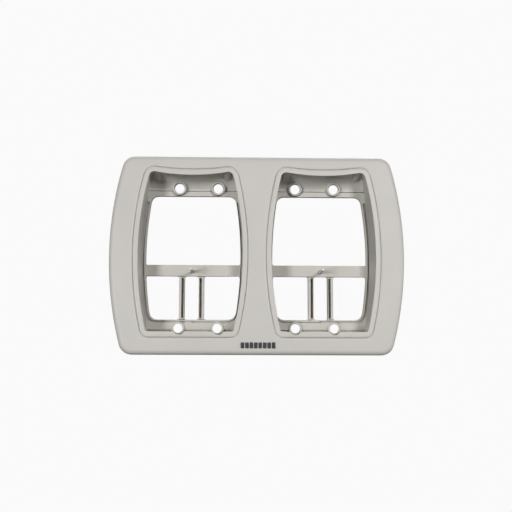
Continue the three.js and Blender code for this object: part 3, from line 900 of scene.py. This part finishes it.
def frame_grooves():
    """Fine grooves: beside and below the openings, at the crease under the cove, and along the floor."""
    side_end = UPPER_OPENING["top"] - OPENING_GROOVE_END
    cutters = []
    for column, (distance, width) in OPENING_GROOVES.items():
        around = barrel(OPENING_HALF + distance, OPENING_BOW, UPPER_OPENING["top"] + 1,
                        LOWER_OPENING["foot"] - FOOT_GROOVE, corner_top=1,
                        corner_foot=OPENING_GROOVE_CORNER, centre=OPENING_CENTRE)
        path = around[(around[:, 0] >= OPENING_CENTRE) & (around[:, 1] <= side_end)]
        if column == "inner":
            path = path[::-1] * (-1, 1) + (2 * OPENING_CENTRE, 0)
        cutters.append(groove_cutter(path, width, OPENING_GROOVE_DEPTH))
    for z, half, width in LEVEL_GROOVES:
        line = [(x, z) for x in np.linspace(POCKET_CENTRE - half, POCKET_CENTRE + half, 12)]
        cutters.append(groove_cutter(line, width, LEVEL_GROOVE_DEPTH))
    return cutters


def rail_outline(near, far, foot, top):
    """A rail seen from the front: its ends flare out in fillets towards the crossbar and the sill."""
    r = RAIL_FILLET
    angles = np.linspace(0, math.pi / 2, 6)
    curve = np.column_stack([r * (1 - np.cos(angles)), r * (1 - np.sin(angles))])
    right_top = np.array([(far + out, top - down) for out, down in curve])
    right_foot = np.array([(far + out, foot + up) for out, up in curve[::-1]])
    right = np.vstack([right_foot, right_top])
    left = right[::-1] * (-1, 1) + (near + far, 0)
    return np.vstack([right, left])


def guide_rail(label, column):
    """An upright with a blind slot in its front, placed by its CAD node's box."""
    node = f"{label}_{column}_guide_rail"
    low, high = (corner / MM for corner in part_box(node))
    top, foot = LOWER_OPENING["top"] - GAP, LOWER_OPENING["foot"] + GAP
    lap_y = FRAME_BACK_Y + GAP
    outline = rail_outline(low.x, high.x, foot, top)
    bar = plate(f"{label}_{column}_rail", [outline], low.y, lap_y + RAIL_OVERLAP, RAIL_EDGE)
    lap = block("lap", (low.x, lap_y, low.z), (high.x, high.y, high.z), RAIL_EDGE)
    combine(bar, lap, "UNION")
    towards_gap = 1 if (label == "left") == (column == "outer") else -1
    inner_x = high.x if towards_gap > 0 else low.x
    slot_x = sorted((inner_x - towards_gap * RAIL_LIP, inner_x - towards_gap * (RAIL_LIP + SLOT_WIDTH)))
    cutter = block("slot", (slot_x[0], low.y - 1, foot + SLOT_END),
                   (slot_x[1], -SLOT_FLOOR, top - SLOT_END), SLOT_EDGE)
    combine(bar, cutter, "DIFFERENCE")
    return finish(bar, node, rail_plastic)


def centre_of(node):
    """A CAD node's middle in x and z, and its front and back, in millimetres."""
    low, high = (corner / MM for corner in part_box(node))
    return (low.x + high.x) / 2, (low.z + high.z) / 2, low.y, high.y


def locating_pin(label):
    """A thin pin, slightly tapered, with a flat head behind the crossbar."""
    node = f"{label}_locating_pin"
    x, z, tip, head_back = centre_of(node)
    head_front = FRAME_BACK_Y + GAP
    profile = rounded_profile(
        [(0, tip), (PIN_SHAFT - PIN_TAPER, tip), (PIN_SHAFT, head_front), (PIN_HEAD, head_front),
         (PIN_HEAD, head_back), (0, head_back)],
        [0, 0.4, 0.2, 0.2, 0.3, 0], steps=5)
    return finish(lathe(f"{label}_pin", profile, x, z, 40), node, pin_plastic)


def screw_sleeve(label, row, column):
    """A flanged sleeve in the rear frame; its bore widens behind the seat."""
    node = f"{label}_{row}_{column}_screw_sleeve"
    x, z, front, back = centre_of(node)
    flange, barrel_radius = FLANGE_RADIUS[row], BARREL_RADIUS[row]
    bore, relief = BORE_RADIUS[row], RELIEF_RADIUS[row]
    flange_back = FRAME_FRONT_Y - GAP
    seat_back = front + SEAT_DEPTH[row]
    corners = [(bore + LEAD_IN[row], front), (flange, front), (flange, flange_back),
               (barrel_radius, flange_back), (barrel_radius, back), (relief, back), (relief, seat_back),
               (bore, seat_back), (bore, front + THROAT_DEPTH[row])]
    radii = [0.15, 0.4, 0.1, 0.1, 0.04, 0.04, 0.05, 0.05, 0.05]
    closed = rounded_profile([corners[-1]] + corners + [corners[0]], [0] + radii + [0])[1:-1]
    item = lathe(f"{label}_{row}_{column}_sleeve", closed + closed[:1], x, z)
    return finish(item, node, frame_plastic)


def assembly_screw(label, column):
    """A pan-head screw with a plain shank and a cross recess."""
    node = f"{label}_upper_{column}_assembly_screw"
    x, z, tip, head_back = centre_of(node)
    head_front = FRAME_BACK_Y + GAP
    profile = rounded_profile(
        [(0, tip), (0.25, tip), (SHANK_RADIUS, tip + SCREW_POINT), (SHANK_RADIUS, head_front),
         (SCREW_HEAD, head_front), (SCREW_HEAD, head_back - 0.5), (1.5, head_back), (0, head_back)],
        [0, 0.1, 0.3, 0.15, 0.1, 0.5, 0.5, 0])
    item = lathe(f"{label}_{column}_screw", profile, x, z, 48)
    for half_x, half_z in ((RECESS_LONG, RECESS_NARROW), (RECESS_NARROW, RECESS_LONG)):
        cutter = block("recess", (x - half_x, head_back - RECESS_DEPTH, z - half_z),
                       (x + half_x, head_back + 1, z + half_z), 0.1)
        combine(item, cutter, "DIFFERENCE")
    return finish(item, node, screw_steel)


def printed_mark():
    """A generic printed row of small rounded blocks, under the middle of the plate."""
    middle_x, middle_z = MARK_CENTRE
    half_width, half_height = MARK_BLOCK_WIDTH / 2, MARK_BLOCK_HEIGHT / 2
    straight = 1e4                      # a bow this flat is a straight side
    outlines = []
    for i in range(MARK_BLOCKS):
        x = middle_x + (i - (MARK_BLOCKS - 1) / 2) * MARK_PITCH
        shape = barrel(half_width, straight, half_height, -half_height, MARK_CORNER, MARK_CORNER, centre=x)
        outlines.append(shape + (0, middle_z))
    item = plate("printed_mark", outlines, FACE_Y - MARK_PROUD, FACE_Y + MARK_SUNK, MARK_EDGE)
    return finish(item, None, black_ink)


front_cover()
liner = None
back_frame = None
for label in LABELS:
    liner = window_liner(label, liner)
    back_frame = rear_frame(label, back_frame)
    for column in COLUMNS:
        guide_rail(label, column)
        assembly_screw(label, column)
        for row in ROWS:
            screw_sleeve(label, row, column)
    locating_pin(label)
printed_mark()

# ---------------------------------------------------------------- stage, light and camera

scene = bpy.context.scene
scene.view_settings.view_transform = "Standard"
scene.view_settings.look = "None"

BACKGROUND = 0.956                      # near-white, the radiance the camera sees behind the frame
WHITE = (1.0, 1.0, 1.0, 1.0)
FLOOR_HEIGHT = -0.6
LAMPS = (                               # name, place, size and power
    ("lamp_left", (-1.02, -1.78, -0.10), (0.40, 0.60), 19.9),
    ("lamp_right", (0.44, -1.36, 0.28), (0.26, 0.30), 7.7),
    ("side_left", (-1.15, -0.33, 0.02), (0.3, 0.4), 1.2),
    ("side_right", (1.15, -0.33, 0.02), (0.3, 0.4), 4.2),
    ("top_rear", (0.0, 0.5, 1.2), (0.8, 0.5), 5.0),
)
SENSOR = 36
LENS = 56.08
CAMERA_PLACE = mm(-11.74, -477.17, -57.46)
CAMERA_YAW = -1.40                      # these three are in degrees
CAMERA_PITCH = 7.114
CAMERA_ROLL = 0.181


def make_world():
    """Near-white to the camera; as light it is weak, and strongest in front."""
    world = bpy.data.worlds.new("studio")
    nodes = Nodes(world)
    nodes.tree.nodes.clear()
    direction = nodes.add("ShaderNodeTexCoord").outputs["Generated"]
    axes = nodes.add("ShaderNodeSeparateXYZ", {"Vector": direction})
    level = nodes.add("ShaderNodeMapRange", {
        "Value": axes.outputs["Y"], "From Min": 0.3, "From Max": -0.6, "To Min": 0.02, "To Max": 0.07,
    }, interpolation_type="SMOOTHSTEP")
    soft = nodes.add("ShaderNodeBackground", {
        "Color": (1.0, 0.93, 0.86, 1.0), "Strength": level.outputs["Result"],
    })
    plain = nodes.add("ShaderNodeBackground", {"Color": WHITE, "Strength": BACKGROUND})
    seen = nodes.add("ShaderNodeLightPath").outputs["Is Camera Ray"]
    mix = nodes.add("ShaderNodeMixShader", {
        0: seen, 1: soft.outputs["Background"], 2: plain.outputs["Background"],
    })
    nodes.add("ShaderNodeOutputWorld", {"Surface": mix.outputs["Shader"]})
    scene.world = world


def softbox(name, place, size, power):
    """A rectangular lamp that faces the middle of the plate and isn't seen itself."""
    light = bpy.data.lights.new(name, "AREA")
    light.shape = "RECTANGLE"
    light.size, light.size_y = size
    light.energy = power
    item = bpy.data.objects.new(name, light)
    scene.collection.objects.link(item)
    item.location = place
    item.rotation_euler = (-item.location).to_track_quat("-Z", "Y").to_euler()
    item.visible_camera = False


def rear_light():
    """Parallel light straight from behind: it shows the back, and no wall of a pocket catches it."""
    light = bpy.data.lights.new("rear_light", "SUN")
    light.energy = 1.1
    light.angle = math.radians(0.5)
    light.specular_factor = 0.0
    item = bpy.data.objects.new("rear_light", light)
    scene.collection.objects.link(item)
    item.rotation_euler = Vector((0, -1, 0)).to_track_quat("-Z", "Y").to_euler()


def make_floor():
    """A plain pale floor, well below the frame, as bright to the camera as the background behind it."""
    bm = bmesh.new()
    bmesh.ops.create_grid(bm, x_segments=8, y_segments=8, size=6)
    floor = to_object("floor", bm)
    floor.location.z = FLOOR_HEIGHT
    material = bpy.data.materials.new("floor")
    nodes = Nodes(material)
    place = nodes.add("ShaderNodeTexCoord").outputs["Object"]
    grain = nodes.add("ShaderNodeTexNoise", {"Vector": place, "Scale": 30.0})
    tone = nodes.add("ShaderNodeMapRange", {"Value": grain.outputs["Fac"], "To Min": 0.03, "To Max": 0.05})
    nodes.feed(tone.outputs["Result"], nodes.shader.inputs["Base Color"])
    nodes.shader.inputs["Roughness"].default_value = 0.9
    glow = nodes.add("ShaderNodeEmission", {"Color": WHITE, "Strength": BACKGROUND})
    seen = nodes.add("ShaderNodeLightPath").outputs["Is Camera Ray"]
    mix = nodes.add("ShaderNodeMixShader", {
        0: seen, 1: nodes.shader.outputs["BSDF"], 2: glow.outputs["Emission"],
    })
    nodes.feed(mix.outputs["Shader"], nodes.tree.nodes["Material Output"].inputs["Surface"])
    floor.data.materials.append(material)


def make_camera():
    """A little below the middle and to the left, looking slightly up."""
    camera = bpy.data.cameras.new("camera")
    camera.lens = LENS
    camera.sensor_width = SENSOR
    item = bpy.data.objects.new("camera", camera)
    scene.collection.objects.link(item)
    yaw = Matrix.Rotation(math.radians(CAMERA_YAW), 4, "Z")
    pitch = Matrix.Rotation(math.radians(90 + CAMERA_PITCH), 4, "X")
    roll = Matrix.Rotation(math.radians(CAMERA_ROLL), 4, "Z")
    item.matrix_world = Matrix.Translation(CAMERA_PLACE) @ yaw @ pitch @ roll
    scene.camera = item


make_world()
make_floor()
for lamp in LAMPS:
    softbox(*lamp)
rear_light()
make_camera()
